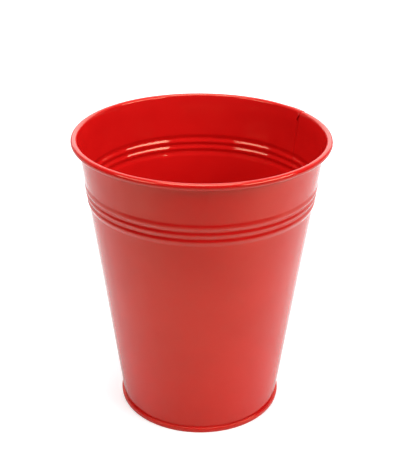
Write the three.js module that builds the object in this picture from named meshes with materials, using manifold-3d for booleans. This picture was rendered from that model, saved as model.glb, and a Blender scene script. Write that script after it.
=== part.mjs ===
// A tapered florist's bucket in painted sheet steel: a wall rolled from one sheet and lapped down
// one side, a wired rim, a pressed bottom plate hooked to the wall by a double seam, and the ring
// of sealing compound that makes that seam hold water.
// Millimetres, +Z up, the origin at the centre of the circle that the bucket stands on.
import * as THREE from "three";
import { mergeVertices } from "three/addons/utils/BufferGeometryUtils.js";
import Module from "manifold-3d";

// Driving dimensions.
const HEIGHT = 209;
const RIM_DIAMETER = 180; // outside the curled rim
const FOOT_DIAMETER = 119.3; // outside the bottom seam, where it meets the table
const SHEET = 0.35; // steel with its paint
const GAP = 0.27; // between neighbouring pieces
const TAPER = 0.1305; // how much the wall's radius grows with height
const CURL_DIAMETER = 4.6;
const WIRE_DIAMETER = 2.8;
const SEAM_HEIGHT = 3.9;
const BEAD_COUNT = 3;
const BEAD_PITCH = 5.2;
const BEAD_DEPTH = 0.8;
const BEAD_RUNOUT = 3.6; // from the outer beads' crests back to the plain wall
const FIRST_BEAD = 33.9; // the top bead's crest, below the rim's top
const PANEL_HEIGHT = 5.2; // the bottom plate's outer panel, above the table
const PANEL_STEP = 0.8; // how much higher the middle of the bottom plate is
const STEP_RADIUS = 42;
const LAP_WIDTH = 7;
const LAP_ANGLE = THREE.MathUtils.degToRad(33); // the lap's inner edge, from +X towards +Y
const SEGMENTS = 48;

// Derived dimensions. A layer is one sheet and the gap to the next.
const LAYER = SHEET + GAP;
const FOLD = LAYER; // a fold that clears one layer between its two sides
const WALL_AT_FOOT = FOOT_DIAMETER / 2 - SHEET / 2 - 3 * LAYER;
const CURL_RADIUS = CURL_DIAMETER / 2 - SHEET / 2;
const CURL_CENTRE = new THREE.Vector2((RIM_DIAMETER - CURL_DIAMETER) / 2, HEIGHT - CURL_DIAMETER / 2);

// The wall's middle surface at height z, and a point the given distance outside it.
const wallRadius = (z) => WALL_AT_FOOT + TAPER * z;
const beside = (offset, z) => new THREE.Vector2(wallRadius(z) + offset, z);

// Points on an arc, with both ends.
function arc(centre, radius, from, to, steps) {
  return Array.from({ length: steps + 1 }, (_, i) => {
    const angle = THREE.MathUtils.degToRad(from + ((to - from) * i) / steps);
    return new THREE.Vector2(radius * Math.cos(angle), radius * Math.sin(angle)).add(centre);
  });
}

// A fold in the seam, around a centre that lies the given distance outside the wall.
const fold = (offset, z, from, to, steps) => arc(beside(offset, z), FOLD, from, to, steps);

// The left-hand normal of a line of points, at point i.
function normalAt(line, i) {
  const before = line[Math.max(i - 1, 0)];
  const after = line[Math.min(i + 1, line.length - 1)];
  const along = after.clone().sub(before).normalize();
  return new THREE.Vector2(-along.y, along.x);
}

// The closed outline of a sheet that follows a line, between two distances to the line's left.
function outline(line, right, left) {
  const shifted = (distance) => line.map((p, i) => p.clone().addScaledVector(normalAt(line, i), distance));
  const points = [...shifted(right), ...shifted(left).reverse()];
  return [...points, points[0].clone()];
}

const sheetOutline = (line) => outline(line, -SHEET / 2, SHEET / 2);

// The rolled beads, from the lowest up: ridges with a groove between each two, and a longer slope
// where the band of beads runs out into the plain wall.
function beads() {
  const stepsEach = 3;
  const slopes = 2 * BEAD_COUNT;
  let z = HEIGHT - FIRST_BEAD - (BEAD_COUNT - 1) * BEAD_PITCH - BEAD_RUNOUT;
  const line = [beside(0, z)];
  for (let slope = 0; slope < slopes; slope++) {
    const outermost = slope === 0 || slope === slopes - 1;
    const length = outermost ? BEAD_RUNOUT : BEAD_PITCH / 2;
    for (let step = 1; step <= stepsEach; step++) {
      const share = step / stepsEach;
      const wave = (1 - Math.cos(Math.PI * (slope + share))) / 2;
      line.push(beside(BEAD_DEPTH * wave, z + length * share));
    }
    z += length;
  }
  return line;
}

// The wall flares a little under the rim and turns over into the curl.
function rim() {
  const flareDegrees = 17;
  const curlDegrees = 300;
  const curl = arc(CURL_CENTRE, CURL_RADIUS, 180 - flareDegrees, 180 - flareDegrees - curlDegrees, 11);
  const start = beside(0, HEIGHT - 12);
  const flare = new THREE.QuadraticBezierCurve(start, beside(0, HEIGHT - 7), curl[0]).getPoints(3);
  return [...flare.slice(0, -1), ...curl];
}

// The wall's middle line, from the tip of its bottom hook, up the wall and round the curl.
const hookTip = beside(2 * LAYER, 2.1);
const foldHeight = 2 * LAYER + SHEET / 2;
const hook = [hookTip, ...fold(LAYER, foldHeight, 0, -180, 4)];
const wallLine = [...hook, ...beads(), ...rim()];

// The bottom plate's middle line, from the axis out to the tip of its hook. The seam is rounded
// over from its upright outer face towards the wall.
function plateLine() {
  const corner = 1;
  const chuck = (z) => beside(-LAYER, z);
  const bottom = FOLD + SHEET / 2;
  const top = SEAM_HEIGHT - SHEET / 2;
  const crownRadius = 0.75 * LAYER;
  const crown = beside(LAYER + crownRadius, top - crownRadius);
  const crownTop = new THREE.Vector2(crown.x, top);
  const face = beside(3 * LAYER, bottom + 1);
  const shoulder = new THREE.QuadraticBezierCurve(face, beside(3 * LAYER, top - 0.3), crownTop);
  return [
    new THREE.Vector2(0, PANEL_HEIGHT + PANEL_STEP),
    new THREE.Vector2(STEP_RADIUS - 2, PANEL_HEIGHT + PANEL_STEP),
    new THREE.Vector2(STEP_RADIUS, PANEL_HEIGHT),
    ...arc(chuck(PANEL_HEIGHT - corner).sub(new THREE.Vector2(corner, 0)), corner, 90, 0, 3),
    ...fold(0, bottom, 180, 270, 3),
    ...fold(2 * LAYER, bottom, 270, 360, 3),
    ...shoulder.getPoints(4),
    ...arc(crown, crownRadius, 90, 180, 3).slice(1),
    beside(LAYER, 1.4),
  ];
}

// A LatheGeometry turns about Y, so every turned piece stands up on X.
function turned(profile) {
  return new THREE.LatheGeometry(profile, SEGMENTS).rotateX(Math.PI / 2);
}

const wasm = await Module();
wasm.setup();

function solid(geometry) {
  const bare = new THREE.BufferGeometry();
  bare.setAttribute("position", geometry.getAttribute("position"));
  bare.setIndex(geometry.index);
  const merged = mergeVertices(bare, 1e-4);
  return new wasm.Manifold(
    new wasm.Mesh({
      numProp: 3,
      vertProperties: new Float32Array(merged.attributes.position.array),
      triVerts: new Uint32Array(merged.index.array),
    }),
  );
}

function geometryOf(manifold) {
  const mesh = manifold.getMesh();
  const geometry = new THREE.BufferGeometry();
  geometry.setAttribute("position", new THREE.BufferAttribute(mesh.vertProperties, 3));
  geometry.setIndex(new THREE.BufferAttribute(mesh.triVerts, 1));
  geometry.computeVertexNormals();
  return geometry;
}

// The sheet's inner end lies over its outer end inside the bucket, and over the curl. It stops
// above the seam, where the corners of the sheet are notched away.
function lap() {
  const bite = 0.1;
  const above = SEAM_HEIGHT + 6;
  const line = [beside(0, above), ...wallLine.slice(hook.length)];
  const layer = solid(turned(outline(line, -bite, SHEET * 1.5)));
  const reach = RIM_DIAMETER;
  const strip = new THREE.BoxGeometry(reach, LAP_WIDTH, 3 * HEIGHT);
  strip.translate(reach / 2, LAP_WIDTH / 2, 0).rotateZ(LAP_ANGLE);
  return layer.intersect(solid(strip));
}

const wallGeometry = () => geometryOf(solid(turned(sheetOutline(wallLine))).add(lap()));

const plateGeometry = () => {
  const loop = sheetOutline(plateLine());
  return turned(loop.slice(0, -1));
};

// The rim's wire runs once round inside the curl, and its ends almost meet at the lap.
class WirePath extends THREE.Curve {
  getPoint(t, target = new THREE.Vector3()) {
    const endGap = 1.5 / CURL_CENTRE.x;
    const angle = LAP_ANGLE + endGap / 2 + (2 * Math.PI - endGap) * t;
    return target.set(CURL_CENTRE.x * Math.cos(angle), CURL_CENTRE.x * Math.sin(angle), 0);
  }
}

function wireGeometry() {
  const section = new THREE.Shape().absarc(0, 0, WIRE_DIAMETER / 2, 0, 2 * Math.PI);
  return new THREE.ExtrudeGeometry(section, {
    steps: SEGMENTS,
    curveSegments: 5,
    extrudePath: new WirePath(),
  });
}

// The compound lies above the tip of the wall's hook, under the crown of the plate's fold.
function compoundGeometry() {
  const thickness = 0.25;
  const height = 0.55;
  const low = hookTip.y + GAP;
  const middle = 2 * LAYER;
  const line = [beside(middle, low), beside(middle, low + height)];
  return turned(outline(line, -thickness / 2, thickness / 2));
}

const paint = (roughness) => new THREE.MeshStandardMaterial({ color: 0xb80d0f, roughness, metalness: 0 });
const wire = new THREE.MeshStandardMaterial({ color: 0x9a9ca0, roughness: 0.35, metalness: 1 });
const compound = new THREE.MeshStandardMaterial({ color: 0x4a4d50, roughness: 0.8, metalness: 0 });

function piece(name, geometry, material) {
  const mesh = new THREE.Mesh(geometry, material);
  mesh.name = name;
  return mesh;
}

const rimWire = piece("rim_wire", wireGeometry(), wire);
rimWire.position.z = CURL_CENTRE.y;

const bucket = new THREE.Group();
bucket.add(
  piece("wall_sheet", wallGeometry(), paint(0.22)),
  piece("bottom_plate", plateGeometry(), paint(0.26)),
  rimWire,
  piece("seam_compound", compoundGeometry(), compound),
);

export default bucket;
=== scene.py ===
import math

import bmesh
import bpy
from mathutils import Matrix, Vector


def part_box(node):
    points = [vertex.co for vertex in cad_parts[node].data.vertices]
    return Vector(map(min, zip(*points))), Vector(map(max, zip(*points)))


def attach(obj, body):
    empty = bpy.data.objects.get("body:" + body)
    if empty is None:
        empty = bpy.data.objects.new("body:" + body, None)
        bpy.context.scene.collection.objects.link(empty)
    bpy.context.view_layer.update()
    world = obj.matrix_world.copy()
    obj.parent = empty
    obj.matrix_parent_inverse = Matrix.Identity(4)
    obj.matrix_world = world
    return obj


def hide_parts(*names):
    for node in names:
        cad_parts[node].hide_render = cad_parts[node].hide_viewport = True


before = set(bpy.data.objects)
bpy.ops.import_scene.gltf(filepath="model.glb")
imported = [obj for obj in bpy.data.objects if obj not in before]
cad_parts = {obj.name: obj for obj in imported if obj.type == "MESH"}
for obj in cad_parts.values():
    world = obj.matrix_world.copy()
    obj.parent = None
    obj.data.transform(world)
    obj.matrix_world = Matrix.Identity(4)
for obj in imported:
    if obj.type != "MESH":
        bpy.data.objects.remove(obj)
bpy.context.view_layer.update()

# ---------------------------------------------------------------- sizes, in millimetres

MM = 0.001

foot_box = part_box("bottom_plate")
wall_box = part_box("wall_sheet")
wire_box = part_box("rim_wire")
compound_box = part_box("seam_compound")

FOOT_RADIUS = foot_box[1].x / MM
RIM_RADIUS = wall_box[1].x / MM
SHEET = 0.35
FOLD_GAP = 0.27
LAYER = SHEET + FOLD_GAP
TAPER = 0.1305
WALL_FOOT = FOOT_RADIUS - SHEET / 2 - 3 * LAYER

# The curl and its wire: the curl's angles in degrees, and how far below the mouth the wall turns into it.
CURL_THICK = 4.6
CURL_START = 163
CURL_END = -137
FLARE_START = 12
FLARE_KNEE = 7
WIRE_RADIUS = 1.4
WIRE_END_GAP = 1.5

# The beads, the first of them below the mouth, and the longer slope at each end of their band.
BEADS = 3
BEAD_PITCH = 5.2
BEAD_DEPTH = 0.8
BEAD_RUNOUT = 3.6
FIRST_BEAD = 33.9

# The bottom seam, the tips of its two hooks, and the plate's raised middle with the slope round it.
SEAM_HEIGHT = 3.9
WALL_HOOK_TIP = 2.1
PLATE_HOOK_TIP = 1.4
PLATE_CORNER = 1.0
PANEL_HEIGHT = 5.2
PANEL_STEP = 0.8
STEP_RADIUS = 42
STEP_SLOPE = 3

# The lap: its width where the wall's radius is LAP_RADIUS, its free edge, its lower end, the gap between
# its layers, and the joggle in radians that brings the sheet back out beside it. Then the share of the
# step that paint fills, how far the top corner has sprung up, and the depth of its notch in radians.
LAP_WIDTH = 7
LAP_RADIUS = 80
LAP_SWEEP = LAP_WIDTH / LAP_RADIUS
LAP_TURN = math.radians(33)
LAP_LOW = 9.9
LAP_GAP = 0.03
JOGGLE = 0.14
PAINT_FILL = 0.55
CORNER_LIFT = 2.2
NOTCH_TURN = 0.01

# Paint in the crease over the seam: out from the wall's face, and up from the seam's top.
CREASE_PAINT = (
    (-0.05, 0.5),
    (0.04, 0.12),
    (0.18, -0.1),
    (0.45, -0.14),
    (0.7, -0.12),
    (0.5, -0.35),
    (-0.05, -0.6),
)

CURL_R = RIM_RADIUS - CURL_THICK / 2
CURL_Z = (wire_box[0].z + wire_box[1].z) / 2 / MM
MOUTH_HEIGHT = CURL_Z + CURL_THICK / 2
CURL_MID = CURL_THICK / 2 - SHEET / 2
BEADS_TOP = MOUTH_HEIGHT - FIRST_BEAD + BEAD_RUNOUT
BEADS_LOW = MOUTH_HEIGHT - FIRST_BEAD - (BEADS - 1) * BEAD_PITCH - BEAD_RUNOUT


def wall_radius(height):
    """The middle of the sheet at a height above the table."""
    return WALL_FOOT + TAPER * height


def beside(offset, height):
    """A point further out than the middle of the sheet, at a height above the table."""
    return Vector((wall_radius(height) + offset, height))


def smoothstep(low, high, x):
    """0 at low and 1 at high, with low above high for a falling step."""
    t = min(1.0, max(0.0, (x - low) / (high - low)))
    return t * t * (3 - 2 * t)


def band(x, low, rises_by, falls_from, high):
    """1 in the middle of a band, fading to 0 at its two ends."""
    return smoothstep(low, rises_by, x) * smoothstep(high, falls_from, x)


def wave(depth, count, start, angle):
    """The height at an angle of a number of waves round the bucket."""
    return depth * math.sin(count * angle + start)


# ---------------------------------------------------------------- bent sheet outlines

def bend(centre, radius, start, end, steps):
    """Points round a bend, both ends included, angles in degrees."""
    points = []
    for i in range(steps + 1):
        angle = math.radians(start + (end - start) * i / steps)
        points.append(Vector((centre[0] + radius * math.cos(angle), centre[1] + radius * math.sin(angle))))
    return points


def straight(start, end, steps):
    """Points along a straight run, without its last point."""
    return [start.lerp(end, i / steps) for i in range(steps)]


def eased(start, knee, end, steps):
    """Points from start to end on a curve that rounds off a knee, without its last point."""
    points = []
    for i in range(steps):
        t = i / steps
        points.append(start.lerp(knee, t).lerp(knee.lerp(end, t), t))
    return points


def left_normal(line, i):
    """The direction to the left of a line at one of its points."""
    before = line[max(i - 1, 0)]
    after = line[min(i + 1, len(line) - 1)]
    along = (after - before).normalized()
    return Vector((-along.y, along.x))


def both_faces(line, right, left):
    """A sheet's two faces along its middle line: the right one forwards, then the left one back."""
    near = [p + left_normal(line, i) * right for i, p in enumerate(line)]
    far = [p + left_normal(line, i) * left for i, p in enumerate(line)]
    return near + far[::-1]


def hook_line():
    """The bottom of the wall, turned out and up inside the seam."""
    height = 2 * LAYER + SHEET / 2
    tip = beside(2 * LAYER, WALL_HOOK_TIP)
    return [tip] + bend(beside(LAYER, height), LAYER, 0, -180, 12)


def rolled_beads():
    """The ridges from the lowest up, with a longer slope where the band runs out into the wall."""
    points = []
    steps = 10
    height = BEADS_LOW
    for slope in range(2 * BEADS):
        length = BEAD_RUNOUT if slope in (0, 2 * BEADS - 1) else BEAD_PITCH / 2
        for i in range(steps):
            raised_by = (1 - math.cos(math.pi * (slope + i / steps))) / 2
            points.append(beside(BEAD_DEPTH * raised_by, height + length * i / steps))
        height += length
    return points


def wall_line():
    """From above the seam, up the wall, over the beads and round the curl."""
    flare = beside(0, MOUTH_HEIGHT - FLARE_START)
    knee = beside(0, MOUTH_HEIGHT - FLARE_KNEE)
    curl = bend((CURL_R, CURL_Z), CURL_MID, CURL_START, CURL_END, 44)
    line = straight(beside(0, LAP_LOW), beside(0, BEADS_LOW), 44) + rolled_beads()
    line += straight(beside(0, BEADS_TOP), flare, 10)
    return line + eased(flare, knee, curl[0], 8) + curl


def plate_line():
    """From the middle of the bottom out to the tip of its hook, with the seam pressed tight and rounded."""
    chuck = beside(-LAYER, PANEL_HEIGHT - PLATE_CORNER)
    bottom = LAYER + SHEET / 2
    top = SEAM_HEIGHT - SHEET / 2
    upper = PANEL_HEIGHT + PANEL_STEP
    slope_start = STEP_RADIUS - STEP_SLOPE
    flat_start = STEP_RADIUS + 0.6
    line = straight(Vector((0, upper)), Vector((slope_start, upper)), 12)
    for i in range(9):
        t = i / 8
        line.append(Vector((slope_start + STEP_SLOPE * t, upper - PANEL_STEP * smoothstep(0, 1, t))))
    line += straight(Vector((flat_start, PANEL_HEIGHT)), Vector((chuck.x - PLATE_CORNER, PANEL_HEIGHT)), 5)
    line += bend((chuck.x - PLATE_CORNER, chuck.y), PLATE_CORNER, 90, 0, 6)
    line += bend(beside(0, bottom), LAYER, 180, 270, 6)
    line += bend(beside(2 * LAYER, bottom), LAYER, 270, 360, 6)
    tight = SHEET + 0.02
    crown_middle = 1.75 * LAYER
    crown = crown_middle - tight
    crown_top = Vector((beside(crown_middle, top - crown).x, top))
    line += eased(beside(3 * LAYER, bottom + 1), beside(3 * LAYER, top - 0.3), crown_top, 12)
    line += bend(beside(tight + crown, top - crown), crown, 90, 180, 8)
    return line + [beside(tight, PLATE_HOOK_TIP)]


# ---------------------------------------------------------------- meshes

def place(radius, height, angle):
    """A point in metres from a radius and height in millimetres, at an angle round the bucket."""
    return Vector((radius * math.cos(angle), radius * math.sin(angle), height)) * MM


def ring_of(bm, loop, angle, shift=lambda p, a: (0, 0), turn=lambda p: 0):
    """One cross-section's vertices at an angle, each moved out and up by shift, and round by turn."""
    ring = []
    for p in loop:
        out, up = shift(p, angle)
        ring.append(bm.verts.new(place(p.x + out, p.y + up, angle + turn(p))))
    return ring


def rings_all_round(bm, loop, columns, **moves):
    return [ring_of(bm, loop, 2 * math.pi * i / columns, **moves) for i in range(columns)]


def skin(bm, rings, closed=False):
    """The faces along a row of closed cross-sections, and from the last to the first if closed."""
    following = rings[1:] + rings[:1] if closed else rings[1:]
    for first, second in zip(rings, following):
        for i in range(len(first)):
            j = (i + 1) % len(first)
            bm.faces.new((first[i], second[i], second[j], first[j]))


def cap(bm, ring, low, high, turned_round=False):
    """A cut end of the sheet: a strip between its two faces, from its line's point low to its point high."""
    for i in range(low, high):
        face = [ring[i], ring[i + 1], ring[-i - 2], ring[-i - 1]]
        bm.faces.new(face[::-1] if turned_round else face)


def finished(name, bm):
    """A named piece from a mesh, shaded smooth except at its sharp edges."""
    sharp = math.radians(32)
    bmesh.ops.remove_doubles(bm, verts=bm.verts, dist=1e-7)
    bmesh.ops.recalc_face_normals(bm, faces=bm.faces)
    mesh = bpy.data.meshes.new(name)
    bm.to_mesh(mesh)
    bm.free()
    for polygon in mesh.polygons:
        polygon.use_smooth = True
    mesh.set_sharp_from_angle(angle=sharp)
    piece = bpy.data.objects.new(name, mesh)
    bpy.context.scene.collection.objects.link(piece)
    return piece


def rolled_by_hand(p, angle):
    """A rolled sheet is never perfectly round: long waves of a few hundredths of a millimetre."""
    high = smoothstep(20, MOUTH_HEIGHT, p.y)
    out = high * (wave(0.06, 2, 0.6, angle) + wave(0.035, 5, 2.1, angle))
    up = high * wave(0.05, 3, 1.2, angle)
    return out, up


def make_wall():
    """One sheet rolled once round. Its first end lies inside its last end, and is joggled out beyond it."""
    start = LAP_TURN + LAP_SWEEP
    tuck = SHEET + LAP_GAP
    upper = wall_line()
    lower = hook_line() + straight(beside(0, WALL_HOOK_TIP), beside(0, LAP_LOW), 6)
    inner_loop = both_faces(upper, -SHEET / 2, SHEET / 2)
    whole_loop = both_faces(lower + upper, -SHEET / 2, SHEET / 2)
    curl_centre = Vector((CURL_R, CURL_Z))

    def tucked(p, angle, amount):
        """Moves a point of the sheet towards its inner side, which is the outer side of the curl."""
        out, up = rolled_by_hand(p, angle)
        if p.y > MOUTH_HEIGHT - CURL_THICK and p.x > CURL_R - CURL_THICK:
            away = (p - curl_centre).normalized()
            return out + away.x * amount, up + away.y * amount
        return out - amount, up

    def drawn_out(p, angle):
        """The sheet's way out of the lap, over the length of the joggle."""
        along = 1 - smoothstep(start, start + JOGGLE, angle)
        above_lap_end = smoothstep(LAP_LOW - 1, LAP_LOW - 0.1, p.y)
        return tucked(p, angle, tuck * along * above_lap_end)

    bm = bmesh.new()
    lap_rings = []
    for share in (0, 0.04, 0.09, 0.15, 0.22, 0.3, 0.45, 0.7, 1):
        def lapped(p, angle, share=share):
            """Paint fills the step at the free edge, and the corner by the rim has sprung up a little."""
            near = 1 - smoothstep(0, 0.3, share)
            below_rim = MOUTH_HEIGHT - p.y
            corner = band(below_rim, 2.2, 3.6, 5.2, 7.8) * smoothstep(CURL_R - 1.2, CURL_R - 1.8, p.x)
            filled = PAINT_FILL * smoothstep(2.5, 5.5, below_rim)
            return tucked(p, angle, tuck * (1 - filled * near) + CORNER_LIFT * near**3 * corner)

        def notched(p, share=share):
            """A small notch in the free edge, just under the curl."""
            return NOTCH_TURN * band(MOUTH_HEIGHT - p.y, 2.6, 3.8, 5, 7.5) * (1 - share) ** 3

        lap_rings.append(ring_of(bm, inner_loop, LAP_TURN + LAP_SWEEP * share, lapped, notched))
    cap(bm, lap_rings[0], 0, len(upper) - 1)
    skin(bm, lap_rings)

    turns = [start + JOGGLE * i / 12 for i in range(12)]
    columns = 300
    turns += [start + JOGGLE + (2 * math.pi - JOGGLE) * i / columns for i in range(columns + 1)]
    rings = [ring_of(bm, whole_loop, angle, drawn_out) for angle in turns]
    # Below the lap the two ends meet edge to edge, so they are open and join into one sheet.
    joined = len(lower) - 1
    cap(bm, rings[0], joined, len(lower))
    skin(bm, rings)
    cap(bm, rings[-1], joined, len(lower + upper) - 1, True)
    return finished("wall", bm)


def make_bottom():
    """The pressed bottom plate, whose edge is folded round the wall's hook."""
    line = plate_line()
    near = [p + left_normal(line, i) * (-SHEET / 2) for i, p in enumerate(line)]
    far = [p + left_normal(line, i) * (SHEET / 2) for i, p in enumerate(line)]
    loop = near[1:] + far[1:][::-1]
    columns = 240
    bm = bmesh.new()

    def pressed(p, angle):
        """The slight waves that the seaming rolls leave in the outer fold."""
        edge = smoothstep(FOOT_RADIUS - 3, FOOT_RADIUS, p.x) * smoothstep(0.8, 2, p.y)
        return edge * (wave(0.03, 7, 0, angle) + wave(0.02, 17, 1, angle)), 0

    rings = rings_all_round(bm, loop, columns, shift=pressed)
    low_hub = bm.verts.new(place(0, near[0].y, 0))
    high_hub = bm.verts.new(place(0, far[0].y, 0))
    for i, first in enumerate(rings):
        second = rings[(i + 1) % columns]
        for k in range(len(loop) - 1):
            bm.faces.new((first[k], second[k], second[k + 1], first[k + 1]))
        bm.faces.new((low_hub, second[0], first[0]))
        bm.faces.new((high_hub, first[-1], second[-1]))
    crease_paint = [beside(SHEET / 2 + out, SEAM_HEIGHT + up) for out, up in CREASE_PAINT]
    skin(bm, rings_all_round(bm, crease_paint, columns), closed=True)
    return finished("bottom", bm)


def make_wire():
    """Drawn wire round the inside of the curl, with cropped ends that nearly meet at the lap."""
    sides = 20
    columns = 220
    half_gap = WIRE_END_GAP / 2 / CURL_R
    sweep = 2 * math.pi - 2 * half_gap
    loop = bend((CURL_R, CURL_Z), WIRE_RADIUS, 0, 360 - 360 / sides, sides - 1)
    bm = bmesh.new()
    rings = [ring_of(bm, loop, LAP_TURN + half_gap + sweep * i / columns) for i in range(columns + 1)]
    skin(bm, rings)
    bm.faces.new(rings[0])
    bm.faces.new(rings[-1][::-1])
    ends = [e for e in bm.edges if len({f for f in e.link_faces if len(f.verts) == sides}) == 1]
    bmesh.ops.bevel(bm, geom=ends, offset=0.15 * MM, segments=2, affect="EDGES")
    return finished("wire_in_curl", bm)


def make_compound():
    """The bead of cured compound above the hook's tip, bulged by the fold that squeezes it."""
    low = compound_box[0].z / MM
    high = compound_box[1].z / MM
    bulge = 0.06
    steps = 8
    loop = []
    for side, start, end in ((-1, low, high), (1, high, low)):
        for i in range(steps + 1):
            t = i / steps
            out = 2 * LAYER + side * (SHEET / 2 + bulge * math.sin(math.pi * t))
            loop.append(beside(out, start + (end - start) * t))
    bm = bmesh.new()
    skin(bm, rings_all_round(bm, loop, 180), closed=True)
    return finished("compound_in_seam", bm)


# ---------------------------------------------------------------- effects that finishes share

def effect(name, inputs, outputs):
    """An empty shader node group with named inputs and outputs."""
    group = bpy.data.node_groups.new(name, "ShaderNodeTree")
    for label, kind, value in inputs:
        made = group.interface.new_socket(name=label, in_out="INPUT", socket_type=kind)
        if value is not None:
            made.default_value = value
    for label, kind in outputs:
        group.interface.new_socket(name=label, in_out="OUTPUT", socket_type=kind)
    return group, group.nodes.new("NodeGroupInput"), group.nodes.new("NodeGroupOutput")


def node(tree, kind, values=None, **settings):
    """A node with its settings, and values for its inputs by name or number."""
    made = tree.nodes.new(kind)
    for setting, value in settings.items():
        setattr(made, setting, value)
    for socket, value in (values or {}).items():
        made.inputs[socket].default_value = value
    return made


def combined(tree, operation, first, second):
    """Two values put through a Math node, each of them a socket or a number."""
    made = node(tree, "ShaderNodeMath", operation=operation)
    for socket, value in zip(made.inputs, (first, second)):
        if isinstance(value, (int, float)):
            socket.default_value = value
        else:
            tree.links.new(value, socket)
    return made.outputs[0]


def ramp(tree, source, low, high, to_low=0.0, to_high=1.0):
    """Maps low..high smoothly to to_low..to_high."""
    made = tree.nodes.new("ShaderNodeMapRange")
    made.interpolation_type = "SMOOTHSTEP"
    tree.links.new(source, made.inputs["Value"])
    for label, value in (("From Min", low), ("From Max", high), ("To Min", to_low), ("To Max", to_high)):
        made.inputs[label].default_value = value
    return made.outputs["Result"]


def in_millimetres(tree):
    """The piece's own coordinates, in millimetres."""
    where = tree.nodes.new("ShaderNodeTexCoord")
    grown = node(tree, "ShaderNodeVectorMath", operation="SCALE")
    grown.inputs["Scale"].default_value = 1000
    tree.links.new(where.outputs["Object"], grown.inputs[0])
    return grown.outputs[0]


def noise(tree, position, scale, detail, roughness):
    """Soft noise from 0 to 1, whose scale is in bumps to the millimetre."""
    made = node(tree, "ShaderNodeTexNoise", {"Scale": scale, "Detail": detail, "Roughness": roughness})
    tree.links.new(position, made.inputs["Vector"])
    return made.outputs["Fac"]


def sprayed_skin():
    """Orange peel, and the odd grain of dirt under the paint."""
    group, given, made = effect(
        "Sprayed skin",
        [("Peel", "NodeSocketFloat", 1.0), ("Grains", "NodeSocketFloat", 1.0)],
        [("Height", "NodeSocketFloat")],
    )
    position = in_millimetres(group)
    fine = noise(group, position, 0.55, detail=2.0, roughness=0.45)
    broad = noise(group, position, 0.09, detail=1.0, roughness=0.4)
    peel = combined(group, "ADD", combined(group, "MULTIPLY", fine, 0.35), broad)
    peel = combined(group, "MULTIPLY", peel, given.outputs["Peel"])
    cells = node(group, "ShaderNodeTexVoronoi", {"Scale": 0.11, "Randomness": 1.0})
    group.links.new(position, cells.inputs["Vector"])
    spot = ramp(group, cells.outputs["Distance"], 0.02, 0.055, 1.0, 0.0)
    chance = node(group, "ShaderNodeSeparateColor")
    group.links.new(cells.outputs["Color"], chance.inputs[0])
    rare = ramp(group, chance.outputs[0], 0.965, 0.975)
    grain = combined(group, "MULTIPLY", combined(group, "MULTIPLY", spot, rare), given.outputs["Grains"])
    height = combined(group, "ADD", peel, combined(group, "MULTIPLY", grain, 0.8))
    group.links.new(height, made.inputs["Height"])
    return group


def enamel_tone():
    """The paint's colour, a shade deeper where the coat is thicker."""
    group, given, made = effect(
        "Enamel tone",
        [
            ("Full Coat", "NodeSocketColor", (0.6, 0.0065, 0.006, 1)),
            ("Thin Coat", "NodeSocketColor", (0.64, 0.008, 0.007, 1)),
        ],
        [("Color", "NodeSocketColor")],
    )
    position = in_millimetres(group)
    cloud = ramp(group, noise(group, position, 0.018, detail=3.0, roughness=0.55), 0.35, 0.65)
    mix = node(group, "ShaderNodeMix", data_type="RGBA")
    group.links.new(cloud, mix.inputs["Factor"])
    group.links.new(given.outputs["Full Coat"], mix.inputs["A"])
    group.links.new(given.outputs["Thin Coat"], mix.inputs["B"])
    group.links.new(mix.outputs["Result"], made.inputs["Color"])
    return group


def shelf_dust():
    """A little pale dust that settles where the surface faces up."""
    group, given, made = effect(
        "Shelf dust",
        [("Amount", "NodeSocketFloat", 0.05)],
        [("Mask", "NodeSocketFloat")],
    )
    facing = node(group, "ShaderNodeNewGeometry")
    parts = node(group, "ShaderNodeSeparateXYZ")
    group.links.new(facing.outputs["Normal"], parts.inputs[0])
    upward = ramp(group, parts.outputs["Z"], 0.35, 0.95)
    specks = ramp(group, noise(group, in_millimetres(group), 0.9, detail=4.0, roughness=0.7), 0.45, 0.75)
    mask = combined(group, "MULTIPLY", combined(group, "MULTIPLY", upward, specks), given.outputs["Amount"])
    group.links.new(mask, made.inputs["Mask"])
    return group


def handling_marks():
    """Faint rubs and finger smudges, which only dull the gloss."""
    group, given, made = effect(
        "Handling marks",
        [("Gloss", "NodeSocketFloat", 0.2), ("Dulling", "NodeSocketFloat", 0.08)],
        [("Roughness", "NodeSocketFloat")],
    )
    position = in_millimetres(group)
    smudge = ramp(group, noise(group, position, 0.035, detail=4.0, roughness=0.6), 0.52, 0.72)
    rub = ramp(group, noise(group, position, 0.25, detail=3.0, roughness=0.65), 0.4, 0.7)
    marks = combined(group, "MULTIPLY", combined(group, "MULTIPLY", smudge, rub), given.outputs["Dulling"])
    group.links.new(combined(group, "ADD", given.outputs["Gloss"], marks), made.inputs["Roughness"])
    return group


def edge_wear():
    """Where paint draws thin over a cut edge or a tight fold."""
    group, given, made = effect(
        "Edge wear",
        [("Reach", "NodeSocketFloat", 1.0)],
        [("Mask", "NodeSocketFloat")],
    )
    form = node(group, "ShaderNodeNewGeometry")
    sharp = ramp(group, form.outputs["Pointiness"], 0.54, 0.64)
    broken = ramp(group, noise(group, in_millimetres(group), 0.6, detail=4.0, roughness=0.7), 0.42, 0.62)
    mask = combined(group, "MULTIPLY", combined(group, "MULTIPLY", sharp, broken), given.outputs["Reach"])
    group.links.new(mask, made.inputs["Mask"])
    return group


SKIN = sprayed_skin()
TONE = enamel_tone()
DUST = shelf_dust()
MARKS = handling_marks()
WEAR = edge_wear()


# ---------------------------------------------------------------- finishes

def placed(tree, group, values=None):
    """A shared effect set into a material, with this material's values."""
    made = tree.nodes.new("ShaderNodeGroup")
    made.node_tree = group
    for socket, value in (values or {}).items():
        made.inputs[socket].default_value = value
    return made


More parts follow.
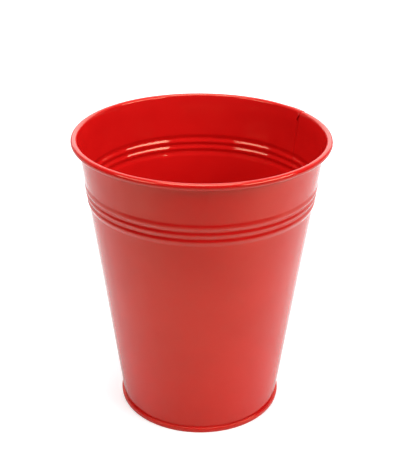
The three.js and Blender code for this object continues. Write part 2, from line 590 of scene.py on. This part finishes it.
def blank_finish(name):
    """A new material, its node tree and its surface shader."""
    finish = bpy.data.materials.new(name)
    finish.use_nodes = True
    tree = finish.node_tree
    tree.nodes.clear()
    surface = tree.nodes.new("ShaderNodeBsdfPrincipled")
    output = tree.nodes.new("ShaderNodeOutputMaterial")
    tree.links.new(surface.outputs[0], output.inputs[0])
    return finish, tree, surface


def blend_colours(tree, mask, first, second):
    """The first colour where the mask is 0 and the second where it is 1; each a socket or a colour."""
    mix = node(tree, "ShaderNodeMix", data_type="RGBA")
    tree.links.new(mask, mix.inputs["Factor"])
    for label, colour in (("A", first), ("B", second)):
        if isinstance(colour, tuple):
            mix.inputs[label].default_value = colour
        else:
            tree.links.new(colour, mix.inputs[label])
    return mix.outputs["Result"]


def raised(tree, surface, height, strength, distance):
    """Lets a height stand up from the surface, with distance in metres."""
    bump = node(tree, "ShaderNodeBump", {"Strength": strength, "Distance": distance})
    tree.links.new(height, bump.inputs["Height"])
    tree.links.new(bump.outputs["Normal"], surface.inputs["Normal"])


def red_enamel(name, gloss, peel, dust):
    """Baked red enamel over sheet steel."""
    thin_paint = (0.62, 0.05, 0.035, 1)
    dust_colour = (0.55, 0.5, 0.46, 1)
    warm_gloss = (1, 0.86, 0.56, 1)
    finish, tree, surface = blank_finish(name)
    tone = placed(tree, TONE)
    wear = placed(tree, WEAR, {"Reach": 0.35})
    dusty = placed(tree, DUST, {"Amount": dust})
    sprayed = placed(tree, SKIN, {"Peel": peel, "Grains": 1.0})
    marks = placed(tree, MARKS, {"Gloss": gloss, "Dulling": 0.06})
    worn = blend_colours(tree, wear.outputs["Mask"], tone.outputs["Color"], thin_paint)
    colour = blend_colours(tree, dusty.outputs["Mask"], worn, dust_colour)
    tree.links.new(colour, surface.inputs["Base Color"])
    dulled = combined(tree, "ADD", marks.outputs["Roughness"], dusty.outputs["Mask"])
    tree.links.new(dulled, surface.inputs["Roughness"])
    raised(tree, surface, sprayed.outputs["Height"], strength=0.25, distance=0.00012)
    surface.inputs["IOR"].default_value = 1.5
    surface.inputs["Specular Tint"].default_value = warm_gloss
    return finish


def drawn_steel(name):
    """Bright drawn wire, faintly scored by the die, with a touch of tarnish."""
    bright = (0.56, 0.57, 0.58, 1)
    tarnished = (0.36, 0.34, 0.31, 1)
    finish, tree, surface = blank_finish(name)
    position = in_millimetres(tree)
    tarnish = ramp(tree, noise(tree, position, 0.12, detail=4.0, roughness=0.6), 0.45, 0.7)
    colour = blend_colours(tree, tarnish, bright, tarnished)
    tree.links.new(colour, surface.inputs["Base Color"])
    scores = noise(tree, position, 2.5, detail=2.0, roughness=0.5)
    tree.links.new(ramp(tree, scores, 0.3, 0.7, 0.24, 0.4), surface.inputs["Roughness"])
    raised(tree, surface, scores, strength=0.2, distance=0.00005)
    surface.inputs["Metallic"].default_value = 1.0
    return finish


def cured_compound(name):
    """Grey rubbery sealing compound, slightly pitted."""
    dark_grey = (0.05, 0.055, 0.06, 1)
    pale_grey = (0.09, 0.095, 0.1, 1)
    finish, tree, surface = blank_finish(name)
    position = in_millimetres(tree)
    pits = noise(tree, position, 1.6, detail=4.0, roughness=0.65)
    colour = blend_colours(tree, ramp(tree, pits, 0.35, 0.65), dark_grey, pale_grey)
    tree.links.new(colour, surface.inputs["Base Color"])
    tree.links.new(ramp(tree, pits, 0.3, 0.7, 0.65, 0.85), surface.inputs["Roughness"])
    raised(tree, surface, pits, strength=0.4, distance=0.0001)
    return finish


# ---------------------------------------------------------------- the bucket

def fit(piece, cad_node, finish):
    """Gives a piece its finish and puts it in the place of its CAD node."""
    piece.data.materials.append(finish)
    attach(piece, "root")
    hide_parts(cad_node)


wall_enamel = red_enamel("Red enamel on the wall", gloss=0.08, peel=0.5, dust=0.02)
bottom_enamel = red_enamel("Red enamel on the bottom", gloss=0.08, peel=0.5, dust=0.02)
fit(make_wall(), "wall_sheet", wall_enamel)
fit(make_bottom(), "bottom_plate", bottom_enamel)
fit(make_wire(), "rim_wire", drawn_steel("Drawn steel wire"))
fit(make_compound(), "seam_compound", cured_compound("Cured compound"))


# ---------------------------------------------------------------- studio

PAPER_WHITE = (0.85, 0.85, 0.84, 1)
# The grey of the painted shade on the paper in front of the bucket.
PAINTED_SHADE_GREY = (0.45, 0.45, 0.45, 1)
UNLIT = (0.02, 0.02, 0.02, 1)
MIDDLE = (0, 0, 0.1)


def matt(name, colour):
    """A plain dull material, its node tree and its surface shader."""
    finish, tree, surface = blank_finish(name)
    surface.inputs["Base Color"].default_value = colour
    surface.inputs["Roughness"].default_value = 0.9
    surface.inputs["Specular IOR Level"].default_value = 0.1
    return finish, tree, surface


def flat_sheet(name, line, finish):
    """A sheet from its low and high edge points in turn, with a fold at each pair between its ends."""
    mesh = bpy.data.meshes.new(name)
    panels = len(line) // 2 - 1
    mesh.from_pydata(line, [], [(2 * i, 2 * i + 2, 2 * i + 3, 2 * i + 1) for i in range(panels)])
    sheet = bpy.data.objects.new(name, mesh)
    bpy.context.scene.collection.objects.link(sheet)
    mesh.materials.append(finish)
    return sheet


def soft_box(name, position, width, height, power, colour=(1, 1, 1)):
    """A rectangular light that faces the middle of the bucket."""
    light = bpy.data.lights.new(name, "AREA")
    light.shape = "RECTANGLE"
    light.size = width
    light.size_y = height
    light.energy = power
    light.color = colour
    lamp = bpy.data.objects.new(name, light)
    bpy.context.scene.collection.objects.link(lamp)
    lamp.location = position
    lamp.rotation_euler = (Vector(MIDDLE) - Vector(position)).to_track_quat("-Z", "Y").to_euler()
    lamp.visible_camera = False


def white_to_camera(tree, true_strength, seen_strength):
    """A strength that lights the scene truly but shows the camera clean white."""
    path = tree.nodes.new("ShaderNodeLightPath")
    return ramp(tree, path.outputs["Is Camera Ray"], 0, 1, true_strength, seen_strength)


def make_paper_floor():
    """White paper with painted shade that greys it in front of the bucket, and lifted to white for the camera
    alone.
    """
    wide = 12.0
    paper, tree, surface = matt("White paper", PAPER_WHITE)
    surface.inputs["Emission Color"].default_value = (1, 1, 1, 1)
    where = node(tree, "ShaderNodeSeparateXYZ")
    tree.links.new(tree.nodes.new("ShaderNodeTexCoord").outputs["Object"], where.inputs[0])
    # Painted shade: the paper is painted grey in front of the bucket, so the wall's gloss reflects a dimmer
    # floor there.
    clear_of_painted_shade = ramp(tree, where.outputs["Y"], -0.36, -0.16)
    tree.links.new(blend_colours(tree, clear_of_painted_shade, PAINTED_SHADE_GREY, PAPER_WHITE), surface.inputs["Base Color"])
    lift = ramp(tree, clear_of_painted_shade, 0.0, 1.0, 0.8, 0.35)
    glow = combined(tree, "MULTIPLY", white_to_camera(tree, 0.0, 1.0), lift)
    tree.links.new(glow, surface.inputs["Emission Strength"])
    flat_sheet("paper_floor", [(-wide, -wide, 0), (-wide, wide, 0), (wide, -wide, 0), (wide, wide, 0)], paper)


def make_dark_side():
    """Three dark sheets at the sides and in front, painted shade for the unlit room, hidden from the camera
    and casting no shadow.
    """
    side = 2.6
    front = -1.9
    back = 0.7
    high = 2.4
    corners = ((-side, back), (-side, front), (side, front), (side, back))
    line = [(x, y, z) for x, y in corners for z in (0.0, high)]
    dark = flat_sheet("dark_side_of_room", line, matt("Unlit room", UNLIT)[0])
    dark.visible_camera = False
    dark.visible_shadow = False


def make_lights():
    soft_box("strip_light_left", (-1.15, -0.7, 1.1), width=1.0, height=0.3, power=7)
    soft_box("strip_light_right", (1.2, -0.6, 1.1), width=1.3, height=0.36, power=17.5)
    soft_box("top_light", (0, -0.1, 1.7), width=1.0, height=1.0, power=23, colour=(0.88, 0.94, 1.0))
    soft_box("back_light", (0, 2.3, 1.4), width=4.0, height=1.6, power=38)
    world = bpy.data.worlds.new("White studio")
    bpy.context.scene.world = world
    world.use_nodes = True
    background = world.node_tree.nodes["Background"]
    background.inputs["Color"].default_value = (1, 1, 1, 1)
    world.node_tree.links.new(white_to_camera(world.node_tree, 0.4, 1.0), background.inputs["Strength"])


def make_camera():
    """In front of the bucket and above it, looking down, with a slight roll."""
    look_down = math.radians(26.17)
    roll = math.radians(0.49)
    data = bpy.data.cameras.new("camera")
    data.lens = 76.5
    data.sensor_width = 36
    data.shift_x = 0.0067
    data.clip_start = 0.01
    data.clip_end = 50
    camera = bpy.data.objects.new("camera", data)
    bpy.context.scene.collection.objects.link(camera)
    tilted = Matrix.Rotation(math.radians(90) - look_down, 4, "X")
    rolled = Matrix.Rotation(roll, 4, "Z")
    camera.matrix_world = Matrix.Translation((0, -0.6393, 0.4475)) @ tilted @ rolled
    bpy.context.scene.camera = camera


make_paper_floor()
make_dark_side()
make_lights()
make_camera()
bpy.context.scene.view_settings.view_transform = "Standard"
